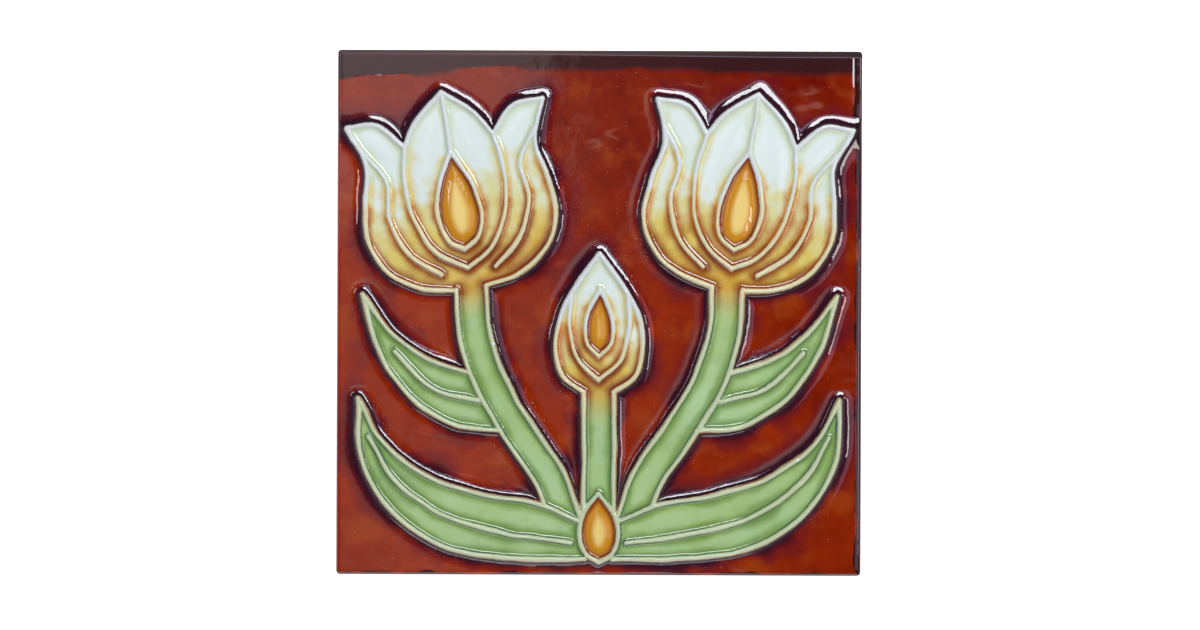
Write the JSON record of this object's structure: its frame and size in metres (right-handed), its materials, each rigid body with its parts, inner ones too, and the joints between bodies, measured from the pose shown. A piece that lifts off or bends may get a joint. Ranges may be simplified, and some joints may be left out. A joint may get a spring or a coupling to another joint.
{
  "type": "ceramic tile",
  "caption": "Square pressed ceramic wall tile with a moulded flower relief under coloured gloss glaze, a cushion edge and a keyed back for adhesive.",
  "frame": {"origin": "centre of the back, on the plane of the back's rim and ribs", "axes": "+Z out of the glazed face, +Y towards the top of the flowers, +X to the viewer's right when the face is viewed with the flowers upright"},
  "size_m": [0.1524, 0.1524, 0.0111],
  "materials": {
    "glaze": "high gloss translucent glaze, red-brown ground, cream and amber flowers, green stems and leaves; bare buff biscuit on the back and lower edges"
  },
  "bodies": {
    "root": {"tile": "glaze"}
  },
  "joints": []
}
